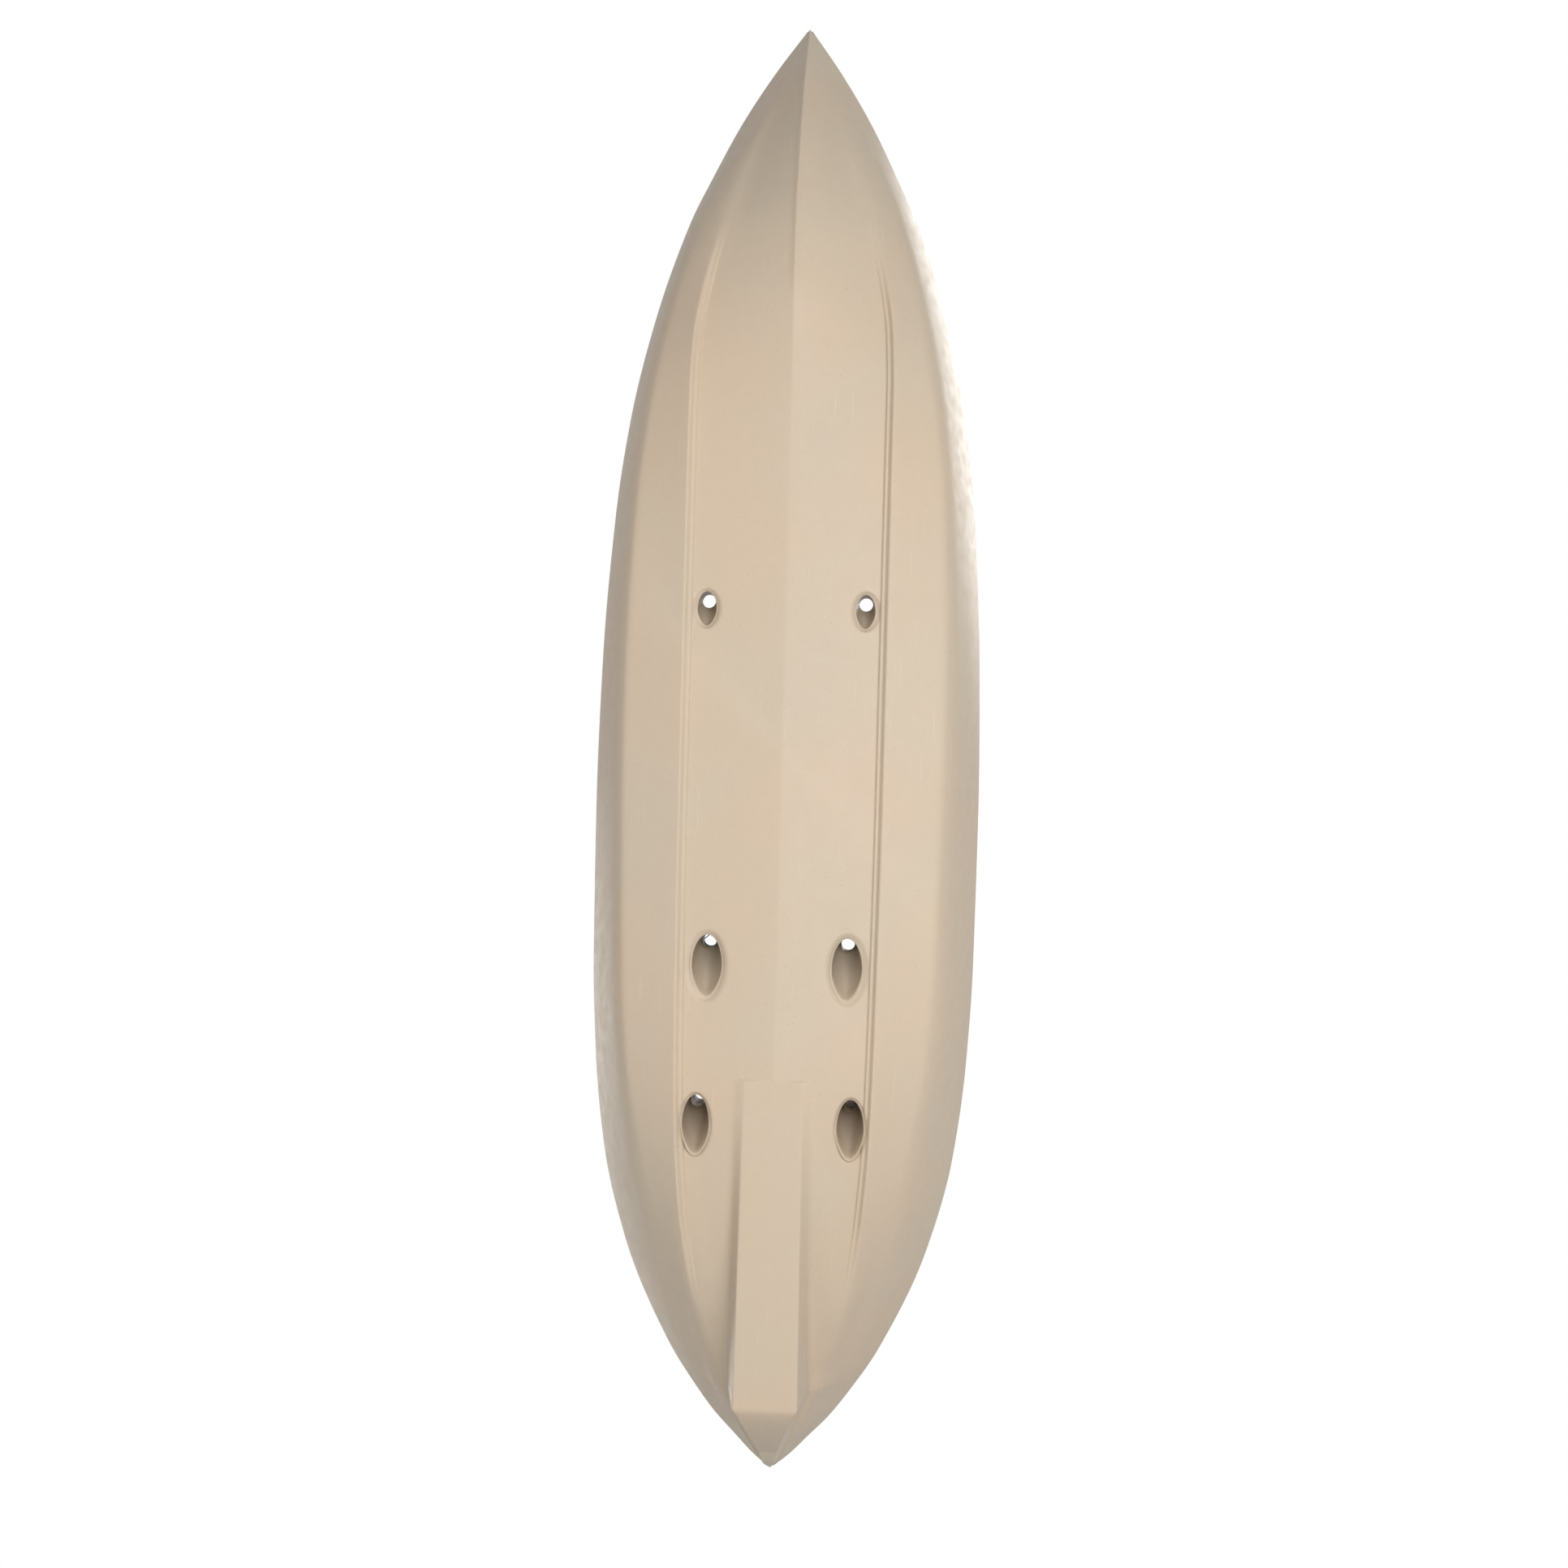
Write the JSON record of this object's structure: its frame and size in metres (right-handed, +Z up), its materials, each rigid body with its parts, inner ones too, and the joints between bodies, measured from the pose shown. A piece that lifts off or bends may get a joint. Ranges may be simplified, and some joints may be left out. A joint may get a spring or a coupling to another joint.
{
  "type": "sit-on-top fishing kayak",
  "caption": "Sit-on-top fishing kayak: moulded hull and deck with footwells, seat, hatches, rod holders, foot braces, carry handles, tank well, scuppers and a broad skeg.",
  "frame": {"origin": "on the floor, at the middle of the length and the beam", "axes": "+Z up, +Y towards the stern, +X to port"},
  "size_m": [0.7958, 3.05, 0.4978],
  "materials": {
    "sand_plastic": "satin",
    "black_plastic": "satin",
    "grey_plastic": "satin",
    "rubber": "matt",
    "aluminium": "satin",
    "seat_fabric": "matt",
    "webbing": "matt",
    "foam": "matt"
  },
  "bodies": {
    "boat": {"bow_handle_bracket_a": "black_plastic", "bow_handle_bracket_b": "black_plastic", "bow_hatch_ring": "black_plastic", "cockpit_tub": "sand_plastic", "console_foam_block": "foam", "console_hatch_ring": "black_plastic", "deck_shell": "sand_plastic", "drain_seal": "rubber", "foot_rail_port": "aluminium", "foot_rail_starboard": "aluminium", "hull_shell": "sand_plastic", "rod_mount_base": "black_plastic", "rod_tube_port": "black_plastic", "rod_tube_starboard": "black_plastic", "seat_foam_block": "foam", "seat_pad": "seat_fabric", "side_handle_port_bracket_a": "black_plastic", "side_handle_port_bracket_b": "black_plastic", "side_handle_starboard_bracket_a": "black_plastic", "side_handle_starboard_bracket_b": "black_plastic", "stern_handle_bracket_a": "black_plastic", "stern_handle_bracket_b": "black_plastic", "strap_clip_front_port": "black_plastic", "strap_clip_front_starboard": "black_plastic", "strap_clip_rear_port": "black_plastic", "strap_clip_rear_starboard": "black_plastic", "strap_eye_front_port": "black_plastic", "strap_eye_front_starboard": "black_plastic", "strap_eye_rear_port": "black_plastic", "strap_eye_rear_starboard": "black_plastic", "strap_front_port": "webbing", "strap_front_starboard": "webbing", "strap_rear_port": "webbing", "strap_rear_starboard": "webbing", "tank_eye_front_port": "black_plastic", "tank_eye_front_starboard": "black_plastic", "tank_eye_rear_port": "black_plastic", "tank_eye_rear_starboard": "black_plastic", "tank_tub": "sand_plastic"},
    "bow_hatch_lift": {"bow_hatch_seal": "rubber"},
    "bow_hatch_lid": {"bow_hatch_lid": "black_plastic"},
    "console_hatch_lift": {"console_hatch_seal": "rubber"},
    "console_hatch_lid": {"console_hatch_lid": "black_plastic"},
    "rod_cap_starboard": {"rod_cap_starboard": "rubber"},
    "rod_cap_port": {"rod_cap_port": "rubber"},
    "rod_yoke": {"rod_mount_yoke": "black_plastic"},
    "rod_cradle": {"rod_cradle": "black_plastic"},
    "cradle_collar": {"cradle_collar": "grey_plastic"},
    "tilt_knob": {"tilt_knob": "grey_plastic"},
    "foot_pedal_starboard": {"foot_pedal_starboard": "black_plastic"},
    "pedal_lever_starboard": {"pedal_lever_starboard": "grey_plastic"},
    "foot_pedal_port": {"foot_pedal_port": "black_plastic"},
    "pedal_lever_port": {"pedal_lever_port": "grey_plastic"},
    "seat_back": {"seat_back": "seat_fabric"},
    "side_handle_starboard": {"side_handle_starboard_bail": "black_plastic"},
    "side_handle_port": {"side_handle_port_bail": "black_plastic"},
    "bow_handle": {"bow_handle_bail": "black_plastic"},
    "stern_handle": {"stern_handle_bail": "black_plastic"},
    "drain_plug": {"drain_plug": "black_plastic"},
    "scupper_plug": {"scupper_plug": "rubber"}
  },
  "joints": [
    {"name": "bow_hatch_lift", "type": "slide", "parent": "boat", "child": "bow_hatch_lift", "axis": [0, 0, 1], "range_m": [0, 0.1]},
    {"name": "bow_hatch_turn", "type": "hinge", "parent": "bow_hatch_lift", "child": "bow_hatch_lid", "pos_m": [0, -1.055, 0.34924], "axis": [0, 0, 1], "range_deg": [0, 60]},
    {"name": "console_hatch_lift", "type": "slide", "parent": "boat", "child": "console_hatch_lift", "axis": [0, 0, 1], "range_m": [0, 0.1]},
    {"name": "console_hatch_turn", "type": "hinge", "parent": "console_hatch_lift", "child": "console_hatch_lid", "pos_m": [0, -0.36, 0.2897], "axis": [0, 0, 1], "range_deg": [0, 60]},
    {"name": "rod_cap_starboard_pull", "type": "slide", "parent": "boat", "child": "rod_cap_starboard", "axis": [-0.1635, 0.3374, 0.9271], "range_m": [0, 0.05]},
    {"name": "rod_cap_port_pull", "type": "slide", "parent": "boat", "child": "rod_cap_port", "axis": [0.1635, 0.3374, 0.9271], "range_m": [0, 0.05]},
    {"name": "rod_yoke_swivel", "type": "hinge", "parent": "boat", "child": "rod_yoke", "pos_m": [0, -0.545, 0.35253], "axis": [0, 0, 1], "continuous": true},
    {"name": "rod_cradle_tilt", "type": "hinge", "parent": "rod_yoke", "child": "rod_cradle", "pos_m": [0, -0.545, 0.35253], "axis": [-1, 0, 0], "range_deg": [-30, 35]},
    {"name": "tilt_knob_turn", "type": "hinge", "parent": "rod_yoke", "child": "tilt_knob", "pos_m": [0, -0.545, 0.35253], "axis": [1, 0, 0], "continuous": true},
    {"name": "cradle_collar_turn", "type": "hinge", "parent": "rod_cradle", "child": "cradle_collar", "pos_m": [0, -0.51976, 0.38857], "axis": [0, -0.8192, 0.5736], "range_deg": [0, 120]},
    {"name": "foot_pedal_starboard_slide", "type": "slide", "parent": "boat", "child": "foot_pedal_starboard", "axis": [0, 1, 0], "range_m": [-0.11, 0.16]},
    {"name": "pedal_lever_starboard_press", "type": "hinge", "parent": "foot_pedal_starboard", "child": "pedal_lever_starboard", "pos_m": [-0.25995, -0.4415, 0.183], "axis": [0, 0, 1], "range_deg": [0, 25], "stiffness_Nm_per_rad": 0.02, "springref_deg": -11.46},
    {"name": "foot_pedal_port_slide", "type": "slide", "parent": "boat", "child": "foot_pedal_port", "axis": [0, 1, 0], "range_m": [-0.11, 0.16]},
    {"name": "pedal_lever_port_press", "type": "hinge", "parent": "foot_pedal_port", "child": "pedal_lever_port", "pos_m": [0.25995, -0.4415, 0.183], "axis": [0, 0, -1], "range_deg": [0, 25], "stiffness_Nm_per_rad": 0.02, "springref_deg": -11.46},
    {"name": "seat_back_fold", "type": "hinge", "parent": "boat", "child": "seat_back", "pos_m": [0, 0.3, 0.1584], "axis": [1, 0, 0], "range_deg": [0, 90], "deforming": ["strap_front_starboard", "strap_front_port", "strap_rear_starboard", "strap_rear_port"]},
    {"name": "side_handle_starboard_raise", "type": "hinge", "parent": "boat", "child": "side_handle_starboard", "pos_m": [-0.3362, -0.125, 0.2778], "axis": [0, -1, 0], "range_deg": [0, 110]},
    {"name": "side_handle_port_raise", "type": "hinge", "parent": "boat", "child": "side_handle_port", "pos_m": [0.3362, -0.125, 0.2778], "axis": [0, 1, 0], "range_deg": [0, 110]},
    {"name": "bow_handle_raise", "type": "hinge", "parent": "boat", "child": "bow_handle", "pos_m": [0, -1.34, 0.36673], "axis": [1, 0, 0], "range_deg": [0, 120]},
    {"name": "stern_handle_raise", "type": "hinge", "parent": "boat", "child": "stern_handle", "pos_m": [0, 1.32, 0.32436], "axis": [-1, 0, 0], "range_deg": [0, 120]},
    {"name": "drain_plug_pull", "type": "slide", "parent": "boat", "child": "drain_plug", "axis": [0, 0, 1], "range_m": [0, 0.04]},
    {"name": "scupper_plug_pull", "type": "slide", "parent": "boat", "child": "scupper_plug", "axis": [0, 0, -1], "range_m": [0, 0.06]}
  ]
}
